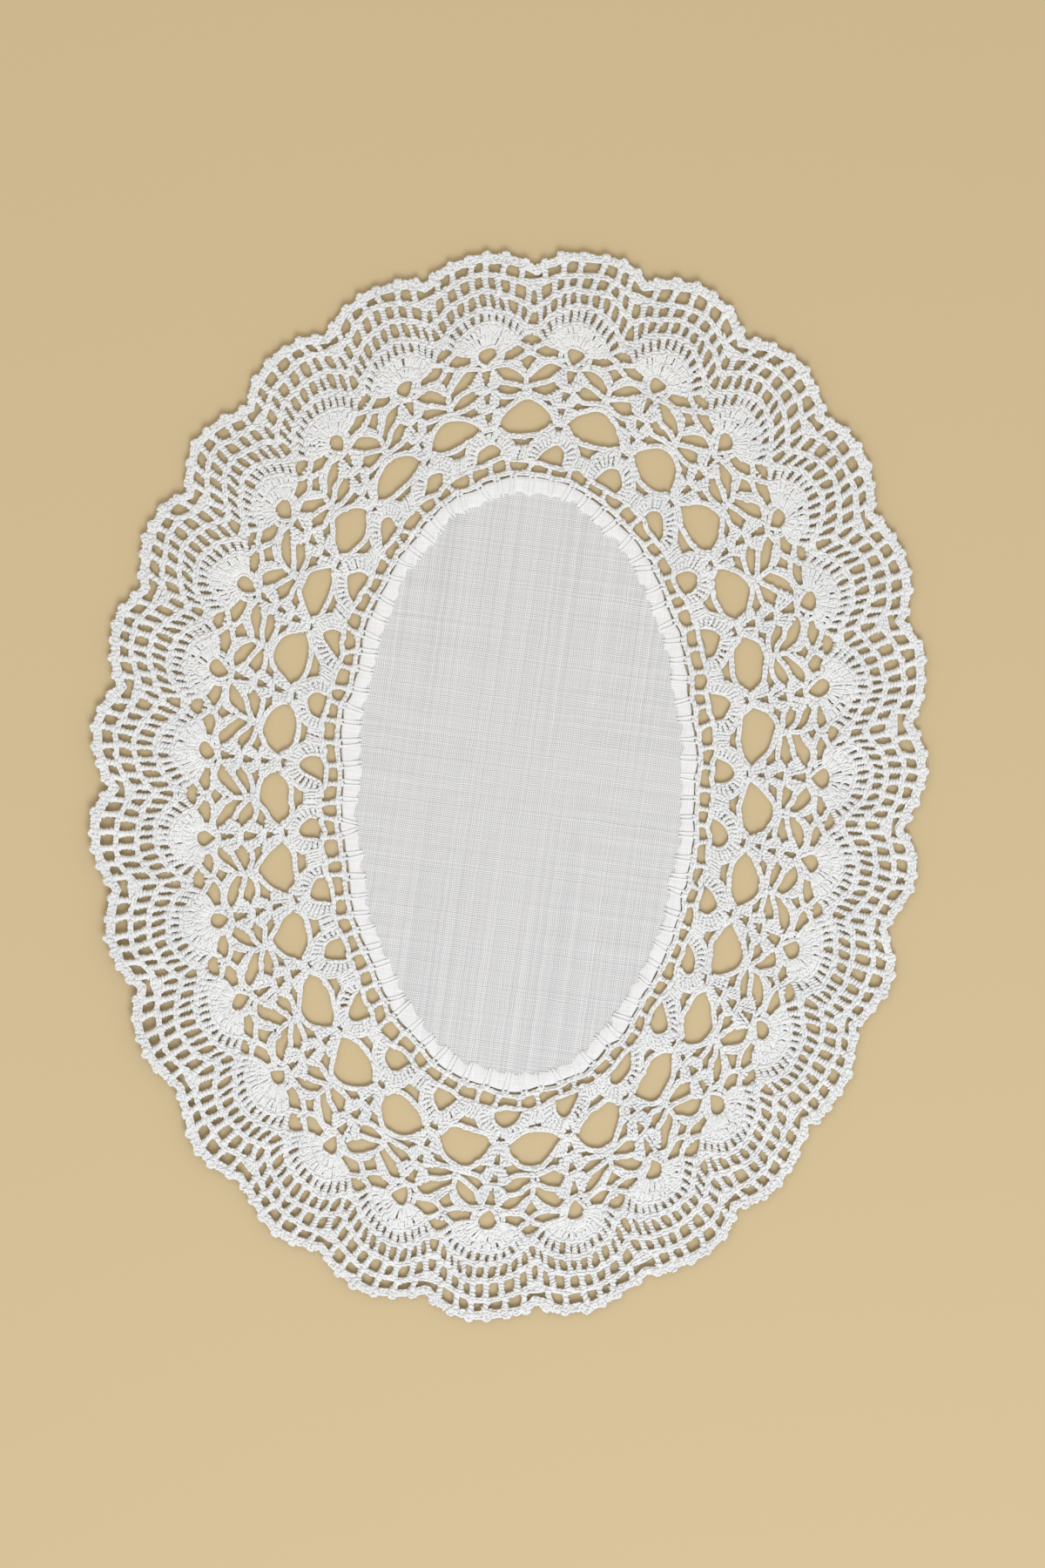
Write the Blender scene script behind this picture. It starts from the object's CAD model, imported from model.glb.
"""The looks of an oval lace doily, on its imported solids: linen, hem stitches and crocheted cotton.

Places in the border are given by two numbers: how far round, in repeats anticlockwise from +X, and
how far out, in millimetres from the ring through the large lens-shaped gaps. Stitches are made of
strands, in millimetres, and each strand is swept into a closed tube.
"""

import math

import bpy
import numpy as np
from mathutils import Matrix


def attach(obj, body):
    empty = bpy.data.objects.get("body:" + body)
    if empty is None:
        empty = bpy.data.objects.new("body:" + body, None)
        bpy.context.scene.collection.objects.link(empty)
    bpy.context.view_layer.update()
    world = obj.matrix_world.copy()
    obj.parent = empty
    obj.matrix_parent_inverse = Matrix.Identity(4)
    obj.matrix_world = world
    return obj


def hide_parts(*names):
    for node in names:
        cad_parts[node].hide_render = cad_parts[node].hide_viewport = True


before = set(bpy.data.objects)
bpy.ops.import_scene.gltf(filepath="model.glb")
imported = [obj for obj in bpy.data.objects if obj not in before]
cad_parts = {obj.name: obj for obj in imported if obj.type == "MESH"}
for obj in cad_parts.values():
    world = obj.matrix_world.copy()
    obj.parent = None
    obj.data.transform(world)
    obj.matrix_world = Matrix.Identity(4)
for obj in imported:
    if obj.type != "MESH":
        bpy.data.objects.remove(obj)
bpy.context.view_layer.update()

MM = 0.001
REPEATS = 27
SQUARENESS = 2.05  # exponent of the rings: 2 is an ellipse, and more is squarer
LOBES = 3
LOBE_AT = math.radians(50.0)
SWAY_FROM = math.radians(20.0)

# The rings of the border, as in its solid, in millimetres and degrees. shift, sway and skew are in
# repeats.
RING_COLUMNS = (
    "out", "half_width", "half_length", "x", "y", "turn", "shift", "sway", "skew", "lobe"
)
RINGS = np.array(
    (
        (-21.0, 58.7, 101.4, 4.0, 0.3, 2.6, -0.14, 0.08, 0.0, 0.0),  # linen edge
        (-16.6, 63.0, 105.5, 3.8, 0.3, 2.5, -0.16, 0.08, 0.0, 0.2),  # filet row
        (-11.4, 68.4, 110.5, 3.5, 0.3, 1.9, -0.19, 0.08, 0.0, 0.4),  # dome gaps
        (0.0, 79.9, 121.8, 3.5, 0.0, 0.6, -0.12, 0.08, 0.0, 0.5),  # lens gaps
        (22.2, 101.9, 144.2, 2.9, -0.1, -0.5, -0.12, 0.08, 0.04, 1.1),  # eyes of the fans
        (55.2, 136.0, 175.9, 1.8, 0.85, -1.3, -0.08, 0.05, 0.12, 1.9),  # scallops
    )
)
RING_STEPS = 1440
LINEN_EDGE = RINGS[0, 0]

# The rim's lift from the surface, as in the border's solid, in millimetres and degrees.
LIFT_FROM_OUT = 28.0
RIM_LIFT = 0.5
CURL_LIFT = 1.4
CURL_AT = 212.0
CURL_SPREAD = 32.0

rng = np.random.default_rng(4548)


# ---- places in the border ----


def ring_row(out):
    """The ring at a place between two of RINGS, or past their ends, by column."""
    at = np.clip(np.searchsorted(RINGS[:, 0], out) - 1, 0, len(RINGS) - 2)
    inner, outer = RINGS[at], RINGS[at + 1]
    share = (out - inner[0]) / (outer[0] - inner[0])
    return dict(zip(RING_COLUMNS, inner + share * (outer - inner)))


def ring_points(out, repeats):
    """Points of one ring at those repeats, in millimetres, and the length of one repeat of it."""
    row = ring_row(out)
    angle = np.linspace(0, math.tau, RING_STEPS + 1)
    bend = 2 / SQUARENESS
    x = np.copysign(np.abs(np.cos(angle)) ** bend, np.cos(angle)) * row["half_width"]
    y = np.copysign(np.abs(np.sin(angle)) ** bend, np.sin(angle)) * row["half_length"]
    along = np.concatenate(([0], np.cumsum(np.hypot(np.diff(x), np.diff(y)))))
    pitch = along[-1] / REPEATS
    swing = math.tau * repeats / REPEATS
    pushed = row["sway"] * np.sin(swing - SWAY_FROM) - row["skew"] * np.sin(2 * swing)
    round_it = repeats + row["shift"] + pushed
    want = (round_it % REPEATS) * pitch
    x = np.interp(want, along, x)
    y = np.interp(want, along, y)
    bulge = row["lobe"] * np.cos(LOBES * (math.tau * round_it / REPEATS - LOBE_AT))
    grow = 1 + bulge / np.hypot(x, y)
    x, y = x * grow, y * grow
    turn = math.radians(row["turn"])
    turned_x = row["x"] + x * math.cos(turn) - y * math.sin(turn)
    turned_y = row["y"] + x * math.sin(turn) + y * math.cos(turn)
    return np.stack((turned_x, turned_y), axis=-1), pitch


# The rings a millimetre apart, measured once, so that places between them are quickly found.
GRID_FROM, GRID_TO = -34.0, 62.0  # millimetres out
GRID_STEPS = 32  # round one repeat
GRID_OUTS = np.arange(GRID_FROM, GRID_TO + 1)
GRID_ROWS = [
    ring_points(out, np.arange(REPEATS * GRID_STEPS) / GRID_STEPS) for out in GRID_OUTS
]
GRID = np.array([points for points, _ in GRID_ROWS])
PITCHES = np.array([pitch for _, pitch in GRID_ROWS])


def pitch_at(out):
    """How long one repeat is at a place, in millimetres."""
    return np.interp(out, GRID_OUTS, PITCHES)


WAVE_COUNT = 9


def waves(points, size, reach, seed):
    """A smooth uneven push for each point, in millimetres.

    size: how far it goes. reach: how long its waves are.
    """
    wave = np.random.default_rng(seed)
    pushes = np.zeros(points.shape[:-1] + (2,))
    for axis in range(2):
        for _ in range(WAVE_COUNT):
            heading = wave.uniform(0, math.tau)
            length = reach * wave.uniform(0.7, 1.5)
            across = points[..., 0] * math.cos(heading) + points[..., 1] * math.sin(heading)
            pushes[..., axis] += np.sin(math.tau * across / length + wave.uniform(0, math.tau))
    return pushes * size / math.sqrt(WAVE_COUNT)


def place(repeats, out):
    """Points of the border in millimetres, with the small unevenness of hand work."""
    repeats, out = np.broadcast_arrays(np.asarray(repeats, float), np.asarray(out, float))
    row = np.clip(out - GRID_FROM, 0, len(GRID_OUTS) - 1.001)
    column = (repeats % REPEATS) * GRID_STEPS
    r0, c0 = row.astype(int), column.astype(int) % (REPEATS * GRID_STEPS)
    c1 = (c0 + 1) % (REPEATS * GRID_STEPS)
    dr, dc = (row - r0)[..., None], (column - np.floor(column))[..., None]
    inner = GRID[r0, c0] * (1 - dc) + GRID[r0, c1] * dc
    outer = GRID[r0 + 1, c0] * (1 - dc) + GRID[r0 + 1, c1] * dc
    flat = inner * (1 - dr) + outer * dr
    broad = waves(flat, size=0.6, reach=27.0, seed=11)
    narrow = waves(flat, size=0.3, reach=9.0, seed=12)
    return flat + broad + narrow


def lift(x, y):
    """How far the border's rim stands off the surface, in millimetres, at points in millimetres."""
    inner, outer = ring_row(LIFT_FROM_OUT), ring_row(RINGS[-1][0])
    x, y = x - outer["x"], y - outer["y"]
    reach = np.hypot(x / outer["half_width"], y / outer["half_length"])
    start = inner["half_length"] / outer["half_length"]
    share = np.maximum(0, (reach - start) / (1 - start))
    away = (np.degrees(np.arctan2(y, x)) - CURL_AT + 180) % 360 - 180
    return (RIM_LIFT + CURL_LIFT * np.exp(-((away / CURL_SPREAD) ** 2))) * share**2


# ---- strands and stitches ----

EVERY = np.arange(REPEATS)[:, None]  # the number of each repeat, as a column
SIDES = 3  # of a strand, one of them on top
FIRST_CORNER = math.radians(30)  # of a strand's section, so that a side lies on top
STRAND_END = 0.7  # of the radius, at both ends of a strand
RAISED = 0.4  # how far the stiff yarn stands off the surface, in millimetres
LOWEST = 0.02  # no yarn goes lower, in millimetres
TINY = 1e-9  # keeps a length of nothing from dividing by nothing
PLY_LENGTH = 0.9  # from one ply of a strand to the next, along it, in millimetres
PLIES = 3


class Yarn:
    """The strands of one piece. Each is a row of points in millimetres, with a radius at each."""

    def __init__(self, name):
        self.name = name
        self.batches = []

    def add(self, paths, radius, tall=1.0):
        """paths: strands by points by (x, y, height). radius: a number, or one for each point.

        tall: the strand's height as a share of its width.
        """
        self.batches.append((paths, np.broadcast_to(radius, paths.shape[:2]).copy(), tall))

    def mesh(self):
        """Sweeps the strands into closed tubes with flat ends, and returns the object."""
        points, faces, places, total = [], [], [], 0
        angle = FIRST_CORNER + math.tau * np.arange(SIDES) / SIDES
        across, upward = np.cos(angle)[:, None], np.sin(angle)[:, None]
        for paths, radius, tall in self.batches:
            count, steps, _ = paths.shape
            run = np.gradient(paths, axis=1)
            run /= np.linalg.norm(run, axis=-1, keepdims=True) + TINY
            side = np.stack((-run[..., 1], run[..., 0], np.full(run.shape[:2], 1e-4)), axis=-1)
            side /= np.linalg.norm(side, axis=-1, keepdims=True)
            up = np.cross(run, side)
            radius[:, 0] *= STRAND_END
            radius[:, -1] *= STRAND_END
            around = across * side[:, :, None] + tall * upward * up[:, :, None]
            ring = paths[:, :, None, :] + radius[:, :, None, None] * around
            index = total + np.arange(count * steps * SIDES).reshape(count, steps, SIDES)
            a, b = index[:, :-1], index[:, 1:]
            sides = (a, b, np.roll(b, -1, axis=2), np.roll(a, -1, axis=2))
            faces.append(np.stack(sides, axis=-1).reshape(-1, 4))
            places.append(ply_places(paths))
            caps = np.concatenate((index[:, 0, :], index[:, -1, ::-1]))
            faces.append(caps)
            places.append(np.zeros((caps.size, 2)))
            points.append(ring.reshape(-1, 3))
            total += count * steps * SIDES
        points = np.concatenate(points)
        points[:, 2] += lift(points[:, 0], points[:, 1]) + RAISED
        points[:, 2] = np.maximum(points[:, 2], LOWEST)
        return build_mesh(self.name, points * MM, faces, np.concatenate(places), flat_ends=True)


def ply_places(paths):
    """For each corner of the sides of strands: how far along and how far round it is, in turns."""
    far = np.cumsum(np.linalg.norm(np.diff(paths, axis=1, prepend=paths[:, :1]), axis=-1), axis=1)
    first = far[:, :-1, None] / PLY_LENGTH + np.zeros(SIDES)
    last = far[:, 1:, None] / PLY_LENGTH + np.zeros(SIDES)
    here = np.arange(SIDES) / SIDES + np.zeros_like(first)
    there = here + 1 / SIDES
    return np.stack((first, here, last, here, last, there, first, there), axis=-1).reshape(-1, 2)


def build_mesh(name, points, face_groups, places=None, flat_ends=False):
    """A smooth-shaded object from points in metres and groups of faces with as many corners each.

    places: one for each corner of the faces. flat_ends: every other group is shaded flat.
    """
    mesh = bpy.data.meshes.new(name)
    mesh.vertices.add(len(points))
    mesh.vertices.foreach_set("co", points.astype(np.float32).ravel())
    corners = np.concatenate([group.ravel() for group in face_groups])
    sizes = np.concatenate([np.full(len(group), group.shape[1]) for group in face_groups])
    smooth_faces = [
        np.full(len(group), not (flat_ends and number % 2))
        for number, group in enumerate(face_groups)
    ]
    mesh.loops.add(len(corners))
    mesh.loops.foreach_set("vertex_index", corners.astype(np.int32))
    mesh.polygons.add(len(sizes))
    mesh.polygons.foreach_set("loop_start", (np.cumsum(sizes) - sizes).astype(np.int32))
    mesh.polygons.foreach_set("use_smooth", np.concatenate(smooth_faces))
    if places is not None:
        layer = mesh.uv_layers.new(name="plies")
        layer.uv.foreach_set("vector", places.astype(np.float32).ravel())
    mesh.update(calc_edges=True)
    mesh.validate()
    made = bpy.data.objects.new(name, mesh)
    bpy.context.scene.collection.objects.link(made)
    return made


def smooth(points, steps=8):
    """A smooth curve through a short list of points, by Catmull and Rom's rule."""
    points = np.array(points, float)
    ends = np.concatenate(([2 * points[0] - points[1]], points, [2 * points[-1] - points[-2]]))
    t = np.linspace(0, 1, steps, endpoint=False)[:, None]
    parts = []
    for a, b, c, d in zip(ends, ends[1:], ends[2:], ends[3:]):
        square = 2 * a - 5 * b + 4 * c - d
        cube = 3 * b - a - 3 * c + d
        parts.append(0.5 * (2 * b + (c - a) * t + square * t**2 + cube * t**3))
    return np.concatenate(parts + [points[-1:]])


RING_STEP = 0.02  # repeats to each side, for the ring's direction


def squarely(repeats, out, to_out):
    """Where the points at to_out are that lie square to the ring from those at out, in repeats."""
    ring = place(repeats + RING_STEP, out) - place(repeats - RING_STEP, out)
    ring /= np.linalg.norm(ring, axis=-1, keepdims=True)
    slip = ((place(repeats, to_out) - place(repeats, out)) * ring).sum(axis=-1)
    return repeats - slip / pitch_at(to_out)


def every_repeat(curve):
    """A curve of (repeats, out) points, placed in each of the repeats."""
    return place(EVERY + curve[:, 0], np.broadcast_to(curve[:, 1], (REPEATS, len(curve))))


def along(path, share):
    """Points and leftward directions at shares of the lengths of many paths."""
    steps = np.linalg.norm(np.diff(path, axis=1), axis=-1)
    far = np.concatenate((np.zeros((len(path), 1)), np.cumsum(steps, axis=1)), axis=1)
    slope = np.gradient(path, axis=1)
    points = np.empty(share.shape + (2,))
    headings = np.empty(share.shape + (2,))
    for i in range(len(path)):
        want = share[i] * far[i, -1]
        for axis in range(2):
            points[i, ..., axis] = np.interp(want, far[i], path[i, :, axis])
            headings[i, ..., axis] = np.interp(want, far[i], slope[i, :, axis])
        over = (share[i] - np.clip(share[i], 0, 1)) * far[i, -1]
        headings[i] /= np.linalg.norm(headings[i], axis=-1, keepdims=True) + TINY
        points[i] += headings[i] * over[..., None]
    left = np.stack((-headings[..., 1], headings[..., 0]), axis=-1)
    return points, left


LEG_AT = np.array((-0.25, 0.4, 1.05))  # along one chain stitch
LEG_ASIDE = np.array((0.05, 0.85, 0.9))  # of the chain's half width
LEG_HEIGHT = np.array((0.85, 1.1, 0.7))
LEG_THICK = (0.88, 1.14)  # of its usual radius, at least and at most
# How uneven chain stitches are: where one begins, in stitches, and how far it is shifted aside as a
# whole, each leg aside and each leg's height, in millimetres.
BEGIN_UNEVEN, SHIFT_UNEVEN, LEG_UNEVEN, HEIGHT_UNEVEN = 0.1, 0.07, 0.06, 0.1
STRAND = 0.45  # the usual radius of a strand, in millimetres
CORE_TOP = 1.02  # of the yarn inside a stitch, which fills the grooves between its strands
CORE_TALL = 1.05


def add_core(yarn, points, radius, height=0.0):
    """The yarn inside stitches: wide, flat on top, and down to the surface."""
    middle = height + CORE_TOP - CORE_TALL * radius * math.sin(FIRST_CORNER)
    yarn.add(np.concatenate((points, middle[..., None]), axis=-1), radius, CORE_TALL)


def chain(yarn, path, width, stitch=1.7, height=0.0, wander=0.0):
    """A braid of chain stitches along many like paths: each stitch is a V of two legs over a core.

    width, stitch: of the braid and of a stitch along it. wander: how much more uneven it is.
    """
    length = np.linalg.norm(np.diff(path, axis=1), axis=-1).sum(axis=1).mean()
    count = max(2, round(length / stitch))
    paths = len(path)
    each = (paths, count, 1)
    begin = np.arange(count)[None, :, None] + rng.normal(0, BEGIN_UNEVEN, each)
    points, left = along(path, (begin + LEG_AT) / count)
    shift = rng.normal(0, SHIFT_UNEVEN + wander, each)
    for hand in (1, -1):
        aside = hand * LEG_ASIDE * (width / 2 - STRAND) + shift + rng.normal(0, LEG_UNEVEN, each)
        legs = np.empty((paths, count, len(LEG_AT), 3))
        legs[..., :2] = points + left * aside[..., None]
        legs[..., 2] = height + LEG_HEIGHT + rng.normal(0, HEIGHT_UNEVEN, each)
        thick = STRAND * rng.uniform(*LEG_THICK, (paths * count, 1))
        yarn.add(legs.reshape(paths * count, len(LEG_AT), 3), thick)
    steps = np.linspace(-0.02, 1.02, count + 1)
    points, _ = along(path, np.broadcast_to(steps, (paths, count + 1)))
    add_core(yarn, points, np.full(points.shape[:2], width / 2), height)


CORE_AT = np.array((-0.06, 0.25, 0.75, 1.06))  # along a post
FLARED_AT = np.array((-0.06, 0.14, 0.31, 0.5, 0.69, 0.86, 1.06))  # along a post with wider ends
INSIDE = 0.25  # how far the core of a post stays inside its sides, in millimetres
LONG_HEIGHT = 1.12  # of the long strands of a post
LONG_DROP = 0.36  # how far they go down past the post's ends
# How uneven the long strands are: along the post, as a share of it, aside in millimetres, and in
# radius.
LONG_SLIDE, LONG_UNEVEN, LONG_THICK = 0.02, 0.16, (0.9, 1.1)
WRAP_REACH = np.array((-1.0, 0.0, 1.0))
WRAP_HEIGHT = np.array((0.74, 1.22, 0.74))
WRAP_THICK = (0.95, 1.25)
WRAP_MORE = 0.35  # how far wraps go past the post's usual half width, where it is wider
# How uneven the wraps are: along the post, as a share of the way to the next one, in how steeply
# they climb, and aside and in height, in millimetres.
WRAP_SLIDE, WRAP_CLIMB, WRAP_UNEVEN, WRAP_BOB = 0.12, (0.5, 1.5), 0.1, 0.08
MOSTLY_RIGHT = 0.75  # this share of the posts is wrapped one way, and the rest the other
HEAD_AT = (0.05, 0.95)
HEAD_HEIGHT = np.array((0.85, 1.2, 0.85))
HEAD_THICK = 1.05
HEAD_SLANT = 0.2  # how uneven it is, in millimetres along the post


def posts(yarn, base, top, width=(1.6, 1.6), wraps=4, strands=0, slant=0.45, flare=0.2, head=0.0):
    """Tall stitches from base to top points in millimetres: a core, and strands wrapped round it.

    width: at the base and at the top. wraps: how many short strands cross the stitch aslant.
    strands: how many long ones run along it. slant: how far a wrap climbs to each side. flare: how
    much wider both ends are, to each side. head: half the length of the strand across each end, or
    0 for none.
    """
    base = base.reshape(-1, 2)
    top = top.reshape(-1, 2)
    count = len(base)
    run = top - base
    length = np.linalg.norm(run, axis=-1)[:, None]
    ahead = run / length
    left = np.stack((-ahead[:, 1], ahead[:, 0]), axis=-1)

    def add(share, aside, height, radius):
        strand = np.empty(share.shape + (3,))
        middle_line = base[:, None] + run[:, None] * share[..., None]
        strand[..., :2] = middle_line + left[:, None] * aside[..., None]
        strand[..., 2] = height
        yarn.add(strand, radius)

    def half_width(share):
        end = (2 * share - 1) ** 2
        return (width[0] + (width[1] - width[0]) * share) / 2 + flare * end

    core_at = FLARED_AT if flare else CORE_AT
    core = np.broadcast_to(core_at, (count, len(core_at)))
    add_core(yarn, base[:, None] + run[:, None] * core[..., None], half_width(core) - INSIDE)
    for number in range(strands):
        to_side = (number + 0.5) / strands * 2 - 1
        share = core + rng.normal(0, LONG_SLIDE, (count, 1))
        aside = to_side * (half_width(core) - STRAND) + rng.normal(0, LONG_UNEVEN, core.shape)
        height = LONG_HEIGHT - LONG_DROP * (np.abs(2 * core - 1) > 1)
        add(share, aside, height, STRAND * rng.uniform(*LONG_THICK, (count, 1)))
    hand = np.where(rng.random((count, 1)) < MOSTLY_RIGHT, 1.0, -1.0)
    for number in range(wraps):
        middle = (number + 0.5) / wraps + rng.normal(0, WRAP_SLIDE / wraps, (count, 1))
        climb = slant * hand * rng.uniform(*WRAP_CLIMB, (count, 1)) / length
        share = middle + WRAP_REACH * climb
        reach = np.minimum(half_width(middle), max(width) / 2 + WRAP_MORE) - 0.5 * STRAND
        aside = WRAP_REACH * reach + rng.normal(0, WRAP_UNEVEN, (count, 1))
        height = WRAP_HEIGHT + rng.normal(0, WRAP_BOB, (count, 1))
        add(share, aside, height, STRAND * rng.uniform(*WRAP_THICK, (count, 1)))
    if head:
        for middle in HEAD_AT:
            share = middle + WRAP_REACH * rng.normal(0, HEAD_SLANT, (count, 1)) / length
            aside = WRAP_REACH * head + np.zeros((count, 1))
            add(share, aside, HEAD_HEIGHT, STRAND * HEAD_THICK)


PAIR_UNEVEN = 0.005  # repeats


def pairs(yarn, points, **how):
    """Posts of every repeat, from a list of pairs of (repeats, out) points."""
    ends = np.array(points, float)
    sway = rng.normal(0, PAIR_UNEVEN, (REPEATS, len(ends)))
    base = place(EVERY + ends[:, 0, 0] + sway, np.broadcast_to(ends[:, 0, 1], sway.shape))
    top = place(EVERY + ends[:, 1, 0] + sway, np.broadcast_to(ends[:, 1, 1], sway.shape))
    posts(yarn, base, top, **how)


def mirrored(points):
    """A path from one side to its mirror image, given its half from the side to the middle."""
    return list(points) + [(-s, v) for s, v in points[-2::-1]]


def both_sides(points):
    """A path and its mirror image."""
    return [points, [(-s, v) for s, v in points]]


# ---- the fans ----

EYE = (0.5, 22.2)  # the middle of a fan
# Half of the eye's ring, by degrees from straight out and millimetres from the middle: five-sided,
# with its point inward.
EYE_RING = (
    (180, 4.0), (155, 3.4), (130, 3.1), (105, 3.3), (80, 3.6), (55, 3.7), (30, 3.5), (0, 3.4)
)


def polar(centre, radius, angle):
    """(repeats, out) of a point about a centre, by millimetres and radians from straight out."""
    radius, angle = np.broadcast_arrays(radius, angle)
    out = centre[1] + radius * np.cos(angle)
    return np.stack((centre[0] + radius * np.sin(angle) / pitch_at(out), out), axis=-1)


WIDEST = math.radians(66)


def valley(radius):
    """The angle at which a ring about the eye meets the next fan's, found by closing in on it."""
    angle = WIDEST
    for _ in range(30):
        half = pitch_at(EYE[1] + radius * math.cos(angle)) / 2
        meets = math.asin(min(1.0, half / radius))
        angle = 0.5 * angle + 0.5 * min(WIDEST, meets)
    return angle


def spread(count):
    """Shares from -1 to 1, for a row of so many stitches."""
    return np.linspace(-1, 1, count)


RADIAL_UNEVEN = 0.008  # repeats


def radial(yarn, centre, inner, outer, count, inner_angle, outer_angle, **how):
    """Posts about a centre, from one radius to another, spread over an angle to both sides."""
    shares = spread(count)
    base = polar(centre, inner, shares * math.radians(inner_angle))
    top = polar(centre, outer, shares * math.radians(outer_angle))
    sway = rng.normal(0, RADIAL_UNEVEN, (REPEATS, count))
    base_points = place(EVERY + base[:, 0] + sway * 0.5, np.broadcast_to(base[:, 1], sway.shape))
    top_points = place(EVERY + top[:, 0] + sway, np.broadcast_to(top[:, 1], sway.shape))
    posts(yarn, base_points, top_points, **how)


def ring_chain(yarn, centre, radius, angle, **how):
    """A chain along a ring about a centre, to the same angle on both sides."""
    path = polar(centre, radius, np.linspace(-angle, angle, 33))
    chain(yarn, every_repeat(path), **how)


def make_fan_hearts():
    """The solid inner half of each fan: the eye's ring and two rows of close stitches."""
    yarn = Yarn("crochet_fan_hearts")
    eye = smooth(mirrored(EYE_RING), 3)
    chain(yarn, every_repeat(polar(EYE, eye[:, 1], np.radians(eye[:, 0]))), width=1.5, stitch=1.5)
    for side in (1, -1):  # the two sides of the ring's inner half are worked twice
        cheek = polar(EYE, 4.9, side * np.radians(np.linspace(65, 128, 12)))
        chain(yarn, every_repeat(cheek), width=1.8)
    radial(yarn, EYE, 3.5, 7.6, 17, 84, 78, width=(1.3, 2.0), wraps=1, strands=2, flare=0)
    ring_chain(yarn, EYE, 7.4, math.radians(78), width=1.4, stitch=1.4, wander=0.12)
    radial(yarn, EYE, 7.4, 10.6, 17, 78, 73, width=(1.9, 2.4), wraps=2, strands=2, flare=0)
    ring_chain(yarn, EYE, 10.7, math.radians(74), width=2.0, stitch=1.5, wander=0.12)
    return yarn


# The rows of open stitches in the outer half of a fan. base, top: radii. base_side, top_side: the
# angles of the last posts, in degrees. width, wraps: of the posts. bar: width of the chain beyond.
FAN_ROWS = (
    dict(piece="crochet_fan_slits", base=10.8, top=15.4, posts=13, base_side=72,
         top_side=63, width=(2.0, 2.2), wraps=5, bar=2.0),
    dict(piece="crochet_fan_cells_inner", base=16.1, top=21.4, posts=10, base_side=55,
         top_side=44.5, width=(1.8, 1.9), wraps=5, bar=2.0),
    dict(piece="crochet_fan_cells_middle", base=22.0, top=27.3, posts=8, base_side=40,
         top_side=35, width=(2.3, 2.4), wraps=5, bar=2.0),
    dict(piece="crochet_fan_cells_outer", base=27.9, top=32.4, posts=6, base_side=28.5,
         top_side=25.5, width=(2.4, 2.4), wraps=3, bar=1.8),
)
BAR_BEYOND = 0.4
# Knots where two fans meet. out, and half of its width in repeats.
VALLEY_KNOTS = ((29.6, 0.05), (31.0, 0.06), (37.9, 0.05), (45.4, 0.05), (46.7, 0.09))


def make_fan_row(row):
    """One row of posts and the chain beyond it."""
    yarn = Yarn(row["piece"])
    radial(yarn, EYE, row["base"], row["top"], row["posts"], row["base_side"], row["top_side"],
           width=row["width"], wraps=row["wraps"], flare=0.8, head=1.3)
    radius = row["top"] + BAR_BEYOND
    ring_chain(yarn, EYE, radius, valley(radius), width=row["bar"], stitch=1.5, wander=0.15)
    return yarn


EDGE_RADIUS = 34.0
SCALLOP_RADIUS = 35.0
PICOTS = 6
PICOT_SPREAD = 0.84  # of the scallop's width
PICOT_OUT = 34.2
PICOT_RADIUS = 1.1


def make_edging():
    """The close edging and its picots."""
    yarn = Yarn("crochet_edging")
    limit = valley(EDGE_RADIUS)
    radial(yarn, EYE, 32.9, 34.7, 21, math.degrees(limit), math.degrees(limit),
           width=(1.7, 1.7), wraps=3, flare=0)
    ring_chain(yarn, EYE, EDGE_RADIUS, limit, width=1.9, stitch=1.6, wander=0.12)
    for out, half in VALLEY_KNOTS:
        knot = np.array([(-half, out), (0.0, out), (half, out)])
        chain(yarn, every_repeat(knot), width=1.9)
    angles = spread(PICOTS) * PICOT_SPREAD * valley(SCALLOP_RADIUS)
    turn = np.radians(np.arange(-150, 151, 30))
    for centre, angle in zip(polar(EYE, PICOT_OUT, angles), angles):
        loop = polar(tuple(centre), PICOT_RADIUS, turn + angle)
        chain(yarn, every_repeat(loop), width=1.6, stitch=1.3, height=0.15)
    return yarn


# ---- the inner border ----

DOME = (0.5, -12.5)  # the middle of a dome gap's round side
DOME_RING = ((102, 4.8), (80, 4.75), (55, 4.7), (28, 4.8), (0, 5.15))  # half of it, as the eye's

# The columns of shells that rise from the domes. posts: one of each pair of like posts, by how far
# aside and out its foot is, and how far aside and out its top is; aside is in repeats, out in
# millimetres. hole: how far out the hole between the two sides begins and ends.
SHELLS = (
    dict(hole=(-5.4, -2.6), posts=((0.02, -6.8, 0.095, -2.4), (0.055, -6.6, 0.13, -2.6))),
    dict(hole=(1.2, 3.8), posts=((0.02, -1.5, 0.08, 4.2), (0.05, -1.4, 0.12, 4.2),
                                 (0.08, -1.1, 0.155, 4.2), (0.11, -0.6, 0.195, 4.2))),
    dict(hole=(6.7, 9.8), posts=((0.02, 4.9, 0.09, 10.2), (0.05, 4.9, 0.125, 9.9),
                                 (0.08, 5.0, 0.155, 9.3), (0.11, 5.3, 0.19, 8.6))),
    dict(hole=(12.6, 17.0), posts=((0.02, 10.8, 0.085, 17.4), (0.052, 10.8, 0.12, 16.8),
                                   (0.083, 10.9, 0.15, 15.9), (0.108, 11.2, 0.18, 15.1),
                                   (0.13, 11.6, 0.21, 14.4))),
)
SHELL_BAR = 0.1  # half of the chain over a shell's hole, in repeats
BAR_RISE = 0.9  # how far the chain's middle is past the hole, in millimetres
BAR_DROP = 0.4  # how much less far its ends are


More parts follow.
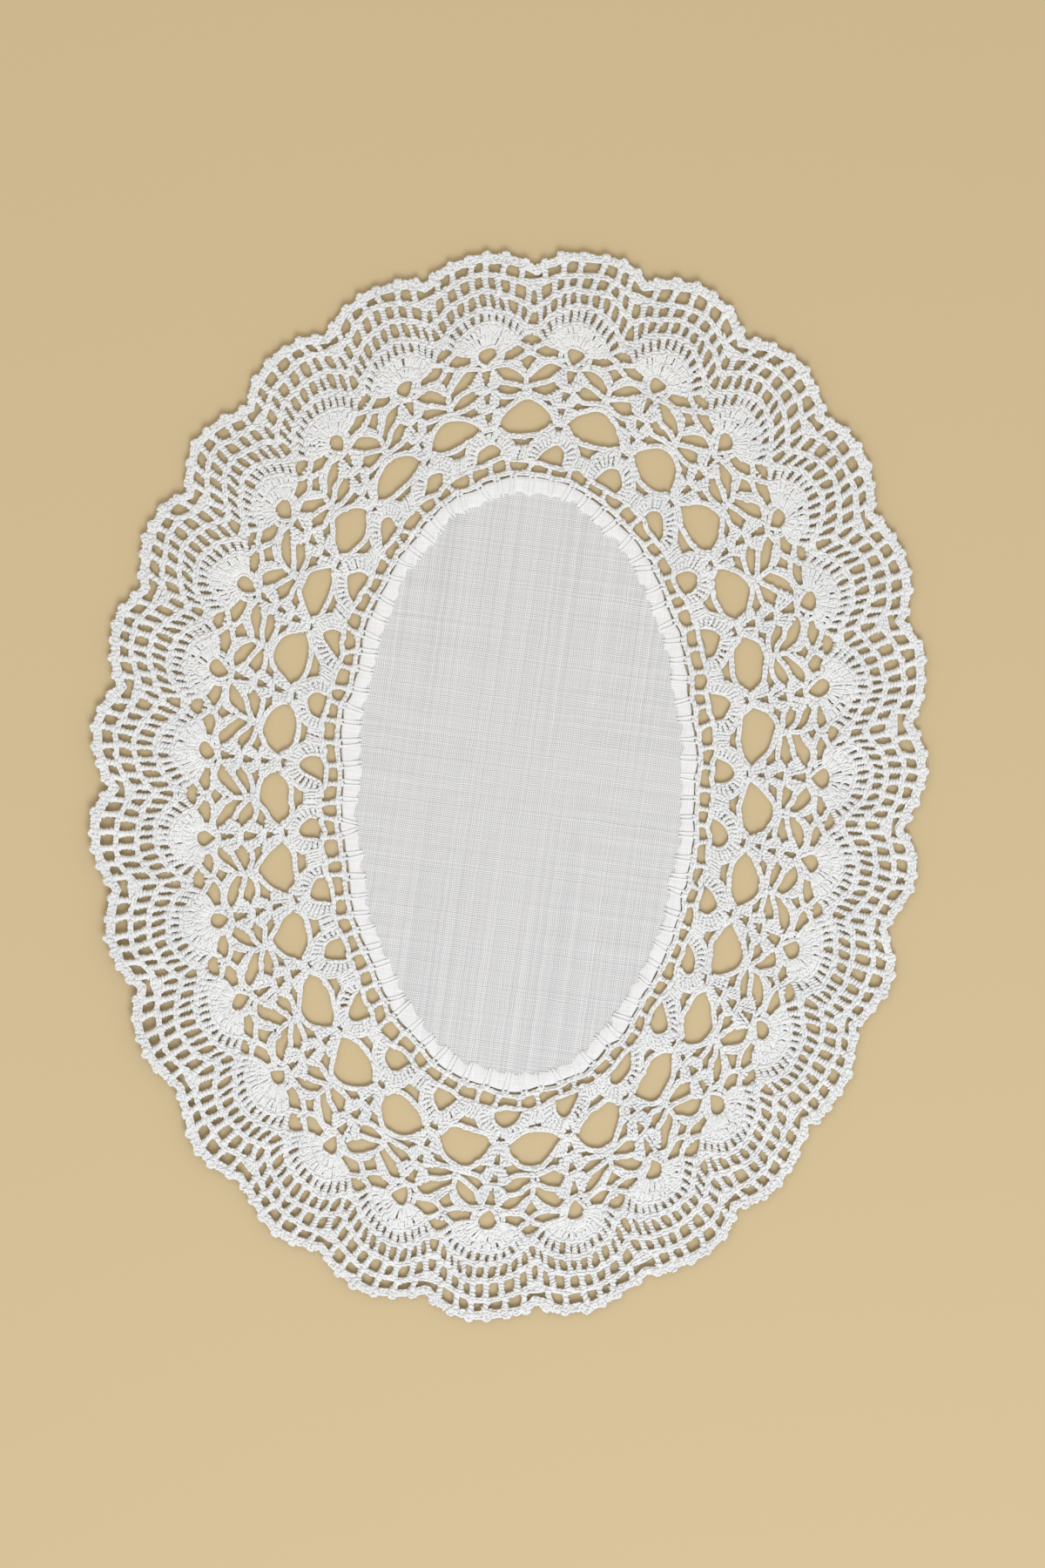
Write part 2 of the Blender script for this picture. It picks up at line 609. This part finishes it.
def make_shells():
    """The stitches round the dome gaps, and the columns of shells that rise from them."""
    yarn = Yarn("crochet_shells")
    radial(yarn, DOME, 5.1, 8.6, 17, 106, 98, width=(1.6, 2.5), wraps=3, strands=1, flare=0)
    dome = smooth(mirrored(DOME_RING), 3)
    edge = polar(DOME, dome[:, 1], np.radians(dome[:, 0]))
    chain(yarn, every_repeat(edge), width=1.4, stitch=1.4)
    for side in (1, -1):
        rim = polar(DOME, 8.7, side * np.radians(np.linspace(17, 76, 12)))
        chain(yarn, every_repeat(rim), width=2.0, stitch=1.5, wander=0.1)
    for shell in SHELLS:
        begins, ends = shell["hole"]
        foot = shell["posts"][0][1]
        pairs(yarn, [((0.5, foot), (0.5, begins))], width=(1.6, 1.2), wraps=2, flare=0)
        for foot_aside, foot_out, top_aside, top_out in shell["posts"]:
            sides = [
                ((0.5 + hand * foot_aside, foot_out), (0.5 + hand * top_aside, top_out))
                for hand in (1, -1)
            ]
            pairs(yarn, sides, width=(1.4, 1.8), wraps=4, slant=0.7, flare=0, head=0.7)
        bar = [
            (0.5 + aside, ends + BAR_RISE - BAR_DROP * (aside / SHELL_BAR) ** 2)
            for aside in np.linspace(-1, 1, 7) * SHELL_BAR
        ]
        chain(yarn, every_repeat(np.array(bar)), width=2.0, stitch=1.4, wander=0.1)
    return yarn


# Chains that cross from the columns to the middle of the repeat, by (repeats, out).
ARCS = (
    mirrored([(0.38, -2.2), (0.34, -3.4), (0.28, -4.6), (0.2, -5.4), (0.1, -5.9), (0.0, -6.0)]),
    mirrored([(0.44, -2.0), (0.38, 0.4), (0.3, 2.7), (0.2, 4.8), (0.1, 6.1), (0.0, 6.5)]),
    mirrored([(0.42, 9.5), (0.38, 8.8), (0.31, 7.7), (0.21, 7.4), (0.11, 7.7), (0.0, 8.0)]),
    mirrored([(0.41, 15.9), (0.36, 14.5), (0.31, 13.5), (0.25, 12.8), (0.2, 12.3), (0.15, 11.7),
              (0.1, 11.0), (0.05, 10.4), (0.0, 10.1)]),
    mirrored([(0.43, 17.8), (0.38, 18.5), (0.32, 19.0), (0.26, 19.2), (0.2, 18.5), (0.14, 17.4),
              (0.09, 16.2), (0.045, 14.9), (0.0, 13.9)]),
    mirrored([(0.4, 20.3), (0.34, 20.0), (0.26, 19.6), (0.19, 19.4), (0.12, 19.8), (0.06, 20.6),
              (0.0, 21.5)]),
    *both_sides([(0.24, 19.6), (0.17, 19.4), (0.115, 18.7), (0.085, 17.7), (0.055, 16.6),
                 (0.02, 15.5)]),
    *both_sides([(0.40, 23.7), (0.3, 24.9), (0.22, 25.6), (0.16, 25.4), (0.09, 24.2), (0.0, 22.6)]),
    [(0.0, 9.8), (0.0, 12.0), (0.0, 14.4)],  # stem of the tie
)
# Posts that tie the chains together in the middle of the repeat, by (repeats, out) of both ends.
TIE = (((-0.045, 5.9), (-0.025, 11.0)), ((0.0, 5.9), (0.0, 11.2)), ((0.045, 5.9), (0.025, 11.0)))
KNOT = (((-0.035, 21.2), (-0.03, 24.6)), ((0.035, 21.2), (0.03, 24.6)))
UNDER_LENS = tuple(
    ((aside, -13.8), (aside * 0.9, -9.4)) for aside in (-0.12, -0.075, -0.03, 0.03, 0.075, 0.12)
)


def make_net():
    """The chains of the net, tied together in the middle of each repeat."""
    yarn = Yarn("crochet_net")
    for arc in ARCS:
        chain(yarn, every_repeat(smooth(arc)), width=1.95, stitch=1.6, wander=0.1)
    pairs(yarn, TIE, width=(1.5, 1.4), wraps=4)
    pairs(yarn, KNOT, width=(1.5, 1.5), wraps=3)
    pairs(yarn, UNDER_LENS, width=(1.6, 1.7), wraps=3, strands=1)
    return yarn


# ---- the open cells and the hem stitches ----

CELLS = 82
CELL_AT = 0.015  # where the first post is, in repeats
CELL_UNEVEN, CELL_LEAN = 0.016, 0.03  # of the posts between the cells, in repeats
BAR_OUT, BAR_SWING = -14.7, 0.5
CORD_OUT = -19.55
POST_FROM = -19.4
HEM_PAIRS = 81
HEM_PAIR_UNEVEN = 0.012  # repeats
HEM_KNOT_OUT = (-20.3, -20.5)  # of both ends of the knot at each pair of hem stitches
HEM_KNOT_HALF = 0.06  # of its length, in repeats


def hem_stitch_places():
    """Where the pairs of stitches over the hem are, in repeats."""
    uneven = np.random.default_rng(HEM_PAIRS).normal(0, HEM_PAIR_UNEVEN, HEM_PAIRS)
    return np.arange(HEM_PAIRS) / HEM_PAIRS * REPEATS + uneven


def uneven_round(repeats, size, counts):
    """Smooth waves all round the border, so many of each, in millimetres."""
    swing = math.tau * repeats / REPEATS
    return size * sum(np.sin(count * swing + count) for count in counts)


def filet_bar(repeats):
    """How far out the chain over the open cells is: further in at the domes."""
    uneven = uneven_round(repeats, 0.16, (40, 61, 97))
    return BAR_OUT + BAR_SWING * np.cos(math.tau * repeats) + uneven


def make_foundation():
    """The open cells next to the linen, and the cord along its edge."""
    yarn = Yarn("crochet_foundation")
    foot = (np.arange(CELLS) + 0.5) / CELLS * REPEATS + CELL_AT + rng.normal(0, CELL_UNEVEN, CELLS)
    lean = rng.normal(0, CELL_LEAN, CELLS)
    top = squarely(foot, POST_FROM, filet_bar(foot)) + lean
    posts(yarn, place(foot, np.full(CELLS, POST_FROM)), place(top, filet_bar(top) + 0.2),
          width=(1.8, 1.8), wraps=4, flare=1.7, head=1.9)
    round_it = EVERY + np.linspace(0, 1, 33)
    chain(yarn, place(round_it, filet_bar(round_it)), width=1.8, wander=0.1)
    cord = place(round_it, CORD_OUT + uneven_round(round_it, 0.08, (33, 71)))
    chain(yarn, cord, width=1.7, stitch=1.6, wander=0.05)
    at = hem_stitch_places()
    knot_from = place(at - HEM_KNOT_HALF, np.full(HEM_PAIRS, HEM_KNOT_OUT[0]))
    knot_to = place(at + HEM_KNOT_HALF, np.full(HEM_PAIRS, HEM_KNOT_OUT[1]))
    posts(yarn, knot_from, knot_to, width=(1.5, 1.5), wraps=2, flare=0)
    return yarn


# One hem stitch: along it, how far out and how high it is, in millimetres.
HEM_STITCH_OUT = np.array((-19.9, -20.7, -21.4, -22.8, -24.4, -25.8, -26.4, -26.9))
HEM_STITCH_HEIGHT = np.array((0.7, 0.88, 0.92, 0.9, 0.88, 0.84, 0.6, 0.1))
HEM_STITCH_APART = (0.045, 0.01)  # half of what parts a pair at its start, and less at its end
HEM_STITCH_LEAN = 0.02
HEM_STITCH_RADIUS = 0.38
HEM_STITCH_TALL = 1.5


def make_hem_stitches():
    """Pairs of long strands over the hem, from the cord to a hole in the linen."""
    yarn = Yarn("crochet_hem_stitches")
    at = hem_stitch_places()
    lean = rng.normal(0, HEM_STITCH_LEAN, HEM_PAIRS)
    start, end = HEM_STITCH_OUT[0], HEM_STITCH_OUT[-1]
    share = (HEM_STITCH_OUT - start) / (end - start)
    straight = squarely(np.repeat(at[:, None], len(share), axis=1), start, HEM_STITCH_OUT)
    apart, closer = HEM_STITCH_APART
    for hand in (1, -1):
        aside = hand * (apart - closer * share) + lean[:, None] * share
        strand = np.empty((HEM_PAIRS, len(share), 3))
        strand[..., :2] = place(straight + aside, np.broadcast_to(HEM_STITCH_OUT, aside.shape))
        strand[..., 2] = HEM_STITCH_HEIGHT
        yarn.add(strand, HEM_STITCH_RADIUS, HEM_STITCH_TALL)
    return yarn


# ---- the linen ----

ROUND_STEPS = 6 * HEM_PAIRS  # points of a ring of the linen
CLOTH_HEIGHT = 0.95
UNDERSIDE = 0.05
# The linen's surface from its edge inward, in millimetres: inset from the edge, and height.
HEM_RINGS = (
    (0.0, 0.25), (-0.2, 0.7), (0.0, 1.2), (0.4, 1.4), (1.6, 1.45), (2.8, 1.45), (3.9, 1.43),
    (4.7, 1.38), (5.0, 1.25), (5.15, 1.05), (5.5, CLOTH_HEIGHT), (7.0, CLOTH_HEIGHT),
    (9.5, CLOTH_HEIGHT), (12.0, CLOTH_HEIGHT),
)
HEM_COUNT = 9  # of these rings lie on the turned hem
CENTRE_RINGS = 16
EDGE_GROOVE, TOP_GROOVE = 0.3, 0.1  # how far a stitch draws the edge in and the hem down
EDGE_TO, TOP_FROM, TOP_TO = 0.6, 0.3, 4.8  # the insets where it does so
GROOVE_ELSEWHERE = 0.25  # of TOP_GROOVE
GROOVE_POWER = 8  # the higher, the narrower the groove at a stitch
SAW_AT = 0.1  # where the turned-in edge jumps, in stitches
TURNED_FROM = 3.0  # inset from which the turned-in edge's unevenness shows
FLAT_TO = 5.3  # inset to which it lies flat in places


def make_linen():
    """One sheet of linen with a turned hem, drawn in a little at every stitch over the hem."""
    round_it = np.arange(ROUND_STEPS) / ROUND_STEPS * REPEATS
    stitch = np.cos(math.tau * round_it * HEM_PAIRS / REPEATS)
    groove = np.maximum(0, stitch) ** GROOVE_POWER
    saw = 0.5 - (round_it * HEM_PAIRS / REPEATS + SAW_AT) % 1
    # How far in the edge of the turned hem is, in millimetres, and how flat it lies on the cloth.
    turned_in = 0.2 * stitch + saw + uneven_round(round_it, 0.2, (8, 23, 52))
    flat = np.clip(0.5 + uneven_round(round_it, 0.35, (37, 90, 149)), 0, 0.9)
    rings = []
    for inset, height in HEM_RINGS:
        out = LINEN_EDGE - inset - EDGE_GROOVE * groove * (inset < EDGE_TO)
        edge = place(round_it, out - turned_in * (inset > TURNED_FROM))
        on_hem = 1.0 if TOP_FROM < inset < TOP_TO else GROOVE_ELSEWHERE
        z = height - TOP_GROOVE * groove * on_hem
        if TURNED_FROM < inset < FLAT_TO:
            share = (inset - TURNED_FROM) / (FLAT_TO - TURNED_FROM)
            z = z - (z - CLOTH_HEIGHT) * flat * share
        rings.append(np.column_stack((edge, z)))
    middle = rings[-1][:, :2].mean(axis=0)
    for i in range(1, CENTRE_RINGS):
        share = 1 - i / CENTRE_RINGS
        ring = middle + (rings[len(HEM_RINGS) - 1][:, :2] - middle) * share
        rings.append(np.column_stack((ring, np.full(ROUND_STEPS, CLOTH_HEIGHT))))
    top = np.array(rings)
    broad = waves(top[..., :2], size=0.12, reach=14.0, seed=21)[..., 0]
    narrow = waves(top[..., :2], size=0.06, reach=5.0, seed=22)[..., 0]
    top[..., 2] += (broad + narrow) * np.linspace(0, 1, len(top))[:, None] ** 0.3
    bottom = top[:0:-1].copy()
    bottom[..., 2] = UNDERSIDE
    loft = np.concatenate((bottom, top))
    ends = [[*middle, UNDERSIDE], [*middle, CLOTH_HEIGHT]]
    points = np.concatenate((loft.reshape(-1, 3), ends))
    index = np.arange(len(loft) * ROUND_STEPS).reshape(len(loft), ROUND_STEPS)
    a, b = index[:-1], index[1:]
    corners = (a, np.roll(a, -1, axis=1), np.roll(b, -1, axis=1), b)
    quads = np.stack(corners, axis=-1).reshape(-1, 4)
    low, high = len(points) - 2, len(points) - 1
    first, last = index[0], index[-1]
    under = np.stack((np.full(ROUND_STEPS, low), np.roll(first, -1), first), axis=-1)
    over = np.stack((np.full(ROUND_STEPS, high), last, np.roll(last, -1)), axis=-1)
    made = build_mesh("linen_sheet", points * MM, [quads, np.concatenate((under, over))])
    hem = np.zeros(len(points), np.float32)
    hem[: (len(bottom) + HEM_COUNT) * ROUND_STEPS] = 1.0
    made.data.attributes.new("hem", "FLOAT", "POINT").data.foreach_set("value", hem)
    return made


# ---- materials ----


def node_maker(material):
    """A short way to add nodes: make(type, {input: value}, {input: link from}, property=...)."""
    tree = material.node_tree

    def make(kind, values=(), links=(), **settings):
        node = tree.nodes.new("ShaderNode" + kind)
        for key, value in settings.items():
            setattr(node, key, value)
        for key, value in dict(values).items():
            node.inputs[key].default_value = value
        for key, source in dict(links).items():
            tree.links.new(source, node.inputs[key])
        return node

    return make


def new_material(name, roughness, sheen):
    """A matt cloth material, its shader, and the means to add nodes to it."""
    material = bpy.data.materials.new(name)
    material.use_nodes = True
    shader = material.node_tree.nodes["Principled BSDF"]
    shader.inputs["Roughness"].default_value = roughness
    shader.inputs["Sheen Weight"].default_value = sheen
    shader.inputs["Sheen Roughness"].default_value = 0.4
    shader.inputs["Specular IOR Level"].default_value = 0.3
    return material, shader, node_maker(material)


SCATTER = 0.58  # how far the cotton's shading leans to the light from above, as bright fibres do
COTTON_DULL, COTTON_BRIGHT = (0.85, 0.86, 0.885, 1), (0.925, 0.93, 0.945, 1)
COTTON_UNDERSIDE = (0.32, 0.225, 0.11, 1)  # above the tan surface
HEM_UNDERSIDE = (0.78, 0.77, 0.75, 1)  # above the white linen
UNDER_TO_TOP = (-0.6, 0.3)  # the normal's heights between which the two colours blend
CLOUD_SCALE = 90.0  # a metre
FIBRE_SCALE = 3200.0  # a metre
PLY_DEPTH = 0.00012  # metres


def cotton_material(name, underside):
    """Bleached crochet cotton: matt white, softly shaded, with plies and fibres, darker below."""
    material, shader, make = new_material(name, 0.8, 0.15)
    link = material.node_tree.links.new
    where = make("TexCoord").outputs["Object"]
    cloudy = make("TexNoise", {"Scale": CLOUD_SCALE, "Detail": 3.0}, {"Vector": where})
    tone = make("ValToRGB", (), {"Fac": cloudy.outputs["Fac"]})
    dull, bright = tone.color_ramp.elements
    dull.position, dull.color = 0.3, COTTON_DULL
    bright.position, bright.color = 0.7, COTTON_BRIGHT
    facing = make("NewGeometry").outputs["Normal"]
    upward = make("SeparateXYZ", (), {0: facing}).outputs["Z"]
    from_below, from_above = UNDER_TO_TOP
    open_air = make("MapRange", {1: from_below, 2: from_above}, {0: upward})
    base = make("Mix", (), {"Factor": open_air.outputs[0]}, data_type="RGBA")
    base.inputs[6].default_value = underside
    link(tone.outputs["Color"], base.inputs[7])
    link(base.outputs[2], shader.inputs["Base Color"])
    strand = make("SeparateXYZ", (), {0: make("UVMap", uv_map="plies").outputs["UV"]})
    round_it = make("Math", {1: PLIES}, {0: strand.outputs["Y"]}, operation="MULTIPLY")
    both = make("Math", (), {0: strand.outputs["X"], 1: round_it.outputs[0]}, operation="ADD")
    turns = make("Math", {1: math.tau}, {0: both.outputs[0]}, operation="MULTIPLY")
    plies = make("Math", (), {0: turns.outputs[0]}, operation="SINE")
    fibres = make("TexNoise", {"Scale": FIBRE_SCALE, "Detail": 2.0}, {"Vector": where})
    height = make("Math", {1: 0.5}, {0: plies.outputs[0], 2: fibres.outputs["Fac"]},
                  operation="MULTIPLY_ADD")
    softened = make("VectorMath", {1: (0, 0, SCATTER)}, {0: facing}, operation="ADD")
    soft = make("VectorMath", (), {0: softened.outputs[0]}, operation="NORMALIZE")
    bump = make("Bump", {"Strength": 0.5, "Distance": PLY_DEPTH},
                {"Height": height.outputs[0], "Normal": soft.outputs[0]})
    link(bump.outputs["Normal"], shader.inputs["Normal"])
    return material


THREAD = 0.00059  # from one linen thread to the next, in metres
THREAD_DEPTH = 0.0002  # metres
SLUB_ACROSS, SLUB_ALONG = 0.9 / THREAD, 5.0  # the scale of the threads' unevenness
# The two sets of threads. low: how open the gaps between them are at one end of the patches' range;
# at the other end it is BOTH_OPEN less that.
WEAVE = (
    dict(axis="X", slub=(SLUB_ACROSS, SLUB_ALONG, 1.0), low=0.6),
    dict(axis="Y", slub=(SLUB_ALONG, SLUB_ACROSS, 1.0), low=1.25),
)
BOTH_OPEN = 1.85
WOBBLE = 0.0009  # how far threads stray, in metres
WOBBLE_SCALE, PATCH_SCALE = 160.0, 55.0  # a metre
# The linen's tones, for the single cloth and for the double hem, where less shows through.
LINEN_HOLE, LINEN_THREAD, LINEN_DULLEST = (0.35, 0.68), (0.825, 0.86), (0.81, 0.94)
LINEN_BRIGHTEST = 1.12
LINEN_BLUE = (1.045, 1.025)  # blue as a share of the grey, in dull threads and in bright ones


def linen_material():
    """Plain-weave linen: crossing threads with slubs, and small dark holes between them."""
    material, shader, make = new_material("linen_cloth", 0.75, 0.2)
    link = material.node_tree.links.new
    where = make("TexCoord").outputs["Object"]
    turned = make("Mapping", {"Rotation": (0, 0, PHOTO_TURN)}, {"Vector": where}).outputs["Vector"]
    wobble = make("TexNoise", {"Scale": WOBBLE_SCALE, "Detail": 1.0}, {"Vector": where})
    offset = make("VectorMath", {1: (0.5, 0.5, 0.5)}, {0: wobble.outputs["Color"]},
                  operation="SUBTRACT")
    scaled = make("VectorMath", {"Scale": WOBBLE}, {0: offset.outputs[0]}, operation="SCALE")
    moved = make("VectorMath", (), {0: turned, 1: scaled.outputs[0]}, operation="ADD")
    axes = make("SeparateXYZ", (), {0: moved.outputs[0]})
    patches = make("TexNoise", {"Scale": PATCH_SCALE, "Detail": 2.0}, {"Vector": where})
    holes = []
    tones = []
    for row in WEAVE:
        along_it = axes.outputs[row["axis"]]
        turns = make("Math", {1: math.pi / THREAD}, {0: along_it}, operation="MULTIPLY")
        swing = make("Math", (), {0: turns.outputs[0]}, operation="SINE")
        size = make("Math", (), {0: swing.outputs[0]}, operation="ABSOLUTE")
        gap = make("Math", {0: 1.0}, {1: size.outputs[0]}, operation="SUBTRACT")
        weight = make("MapRange", {1: 0.35, 2: 0.65, 3: row["low"], 4: BOTH_OPEN - row["low"]},
                      {0: patches.outputs["Fac"]})
        open_gap = make("Math", (), {0: gap.outputs[0], 1: weight.outputs[0]}, operation="MULTIPLY")
        holes.append(open_gap.outputs[0])
        stretched = make("Mapping", {"Scale": row["slub"]}, {"Vector": moved.outputs[0]})
        slub = make("TexNoise", {"Scale": 1.0, "Detail": 1.0}, {"Vector": stretched.outputs[0]})
        tones.append(slub.outputs["Fac"])
    both = make("Math", (), {0: holes[0], 1: holes[1]}, operation="ADD")
    deep = make("Math", {1: 2.0}, {0: both.outputs[0]}, operation="POWER")
    slubs = make("Math", (), {0: tones[0], 1: tones[1]}, operation="ADD")
    hem = make("Attribute", attribute_name="hem").outputs["Fac"]

    def by_hem(values):
        cloth, turned_hem = values
        return make("MapRange", {1: 0.0, 2: 1.0, 3: cloth, 4: turned_hem}, {0: hem}).outputs[0]

    hole = by_hem(LINEN_HOLE)
    thread = by_hem(LINEN_THREAD)
    shade = make("MapRange", {1: 0.0, 2: 2.2}, {0: deep.outputs[0], 3: thread, 4: hole})
    least = by_hem(LINEN_DULLEST)
    vary = make("MapRange", {1: 0.6, 2: 1.4, 4: LINEN_BRIGHTEST}, {0: slubs.outputs[0], 3: least})
    value = make("Math", (), {0: shade.outputs[0], 1: vary.outputs[0]}, operation="MULTIPLY")
    dull, bright = LINEN_BLUE
    tint = make("MapRange", {1: 0.7, 2: 1.3, 3: dull, 4: bright}, {0: slubs.outputs[0]})
    grey = value.outputs[0]
    blue = make("Math", (), {0: grey, 1: tint.outputs[0]}, operation="MULTIPLY")
    colour = make("CombineColor", (), {0: grey, 1: grey, 2: blue.outputs[0]})
    link(colour.outputs[0], shader.inputs["Base Color"])
    bump = make("Bump", {"Strength": 0.6, "Distance": THREAD_DEPTH}, {"Height": value.outputs[0]})
    link(bump.outputs["Normal"], shader.inputs["Normal"])
    return material


# ---- the stage ----

PHOTO_WIDE, PHOTO_HIGH = 1200, 1800
PX_PER_MM = 3.46
PHOTO_TURN = math.radians(4.0)
ORIGIN_PX = (581.98, 899.35)  # where the object's origin is in the picture
CAMERA_HEIGHT = 1.4  # metres
SENSOR = 36.0  # millimetres
FLOOR_HALF = 8.0  # metres
FLOOR_COLOUR = (0.62, 0.487, 0.286, 1)
LIGHTS = (  # at, size: in metres
    dict(name="key", at=(0.38, -1.25, 1.55), size=1.3, watts=24.8, colour=(0.835, 0.908, 1.0)),
    dict(name="fill", at=(-0.5, 0.6, 1.2), size=0.8, watts=1.5, colour=(0.96, 0.98, 1.0)),
)
SURROUNDINGS = (1.0, 0.93, 0.8, 1)
SURROUNDINGS_STRENGTH = 0.62


def make_camera():
    """Straight above the doily, turned as the picture is."""
    across = (PHOTO_WIDE / 2 - ORIGIN_PX[0]) / PX_PER_MM * MM
    down = (PHOTO_HIGH / 2 - ORIGIN_PX[1]) / PX_PER_MM * MM
    cos, sin = math.cos(PHOTO_TURN), math.sin(PHOTO_TURN)
    data = bpy.data.cameras.new("camera")
    data.sensor_width = SENSOR
    data.sensor_height = SENSOR
    data.sensor_fit = "VERTICAL"
    data.lens = SENSOR * CAMERA_HEIGHT / (PHOTO_HIGH / PX_PER_MM * MM)
    camera = bpy.data.objects.new("camera", data)
    camera.location = (across * cos + down * sin, across * sin - down * cos, CAMERA_HEIGHT)
    camera.rotation_euler = (0, 0, PHOTO_TURN)
    bpy.context.scene.collection.objects.link(camera)
    bpy.context.scene.camera = camera


def area_light(row):
    """A round lamp that faces the middle of the picture."""
    data = bpy.data.lights.new(row["name"], "AREA")
    data.shape = "DISK"
    data.size = row["size"]
    data.energy = row["watts"]
    data.color = row["colour"]
    light = bpy.data.objects.new(row["name"], data)
    light.location = row["at"]
    bpy.context.scene.collection.objects.link(light)
    toward = bpy.context.scene.camera.location.copy()
    toward.z = 0
    light.rotation_euler = (toward - light.location).to_track_quat("-Z", "Y").to_euler()


def make_stage():
    """A plain pale floor, and soft studio light from the foot of the picture."""
    signs = np.array(((-1, -1, 0), (1, -1, 0), (1, 1, 0), (-1, 1, 0)))
    floor = build_mesh("floor", signs * FLOOR_HALF, [np.array([[0, 1, 2, 3]])])
    material = bpy.data.materials.new("floor")
    material.use_nodes = True
    shader = material.node_tree.nodes["Principled BSDF"]
    shader.inputs["Base Color"].default_value = FLOOR_COLOUR
    shader.inputs["Roughness"].default_value = 0.7
    floor.data.materials.append(material)
    for row in LIGHTS:
        area_light(row)
    world = bpy.data.worlds.new("studio")
    world.use_nodes = True
    background = world.node_tree.nodes["Background"]
    background.inputs["Color"].default_value = SURROUNDINGS
    background.inputs["Strength"].default_value = SURROUNDINGS_STRENGTH
    bpy.context.scene.world = world
    bpy.context.scene.view_settings.view_transform = "Standard"


def main():
    make_camera()
    make_stage()
    cotton = cotton_material("crochet_cotton", COTTON_UNDERSIDE)
    hem_cotton = cotton_material("hem_stitch_cotton", HEM_UNDERSIDE)
    yarns = (
        make_fan_hearts(),
        *map(make_fan_row, FAN_ROWS),
        make_edging(),
        make_shells(),
        make_net(),
        make_foundation(),
        make_hem_stitches(),
    )
    for yarn in yarns:
        piece = yarn.mesh()
        on_hem = yarn.name == "crochet_hem_stitches"
        piece.data.materials.append(hem_cotton if on_hem else cotton)
        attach(piece, "root")
        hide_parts("lace_border")
    linen = make_linen()
    linen.data.materials.append(linen_material())
    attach(linen, "root")
    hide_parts("linen_centre")


main()
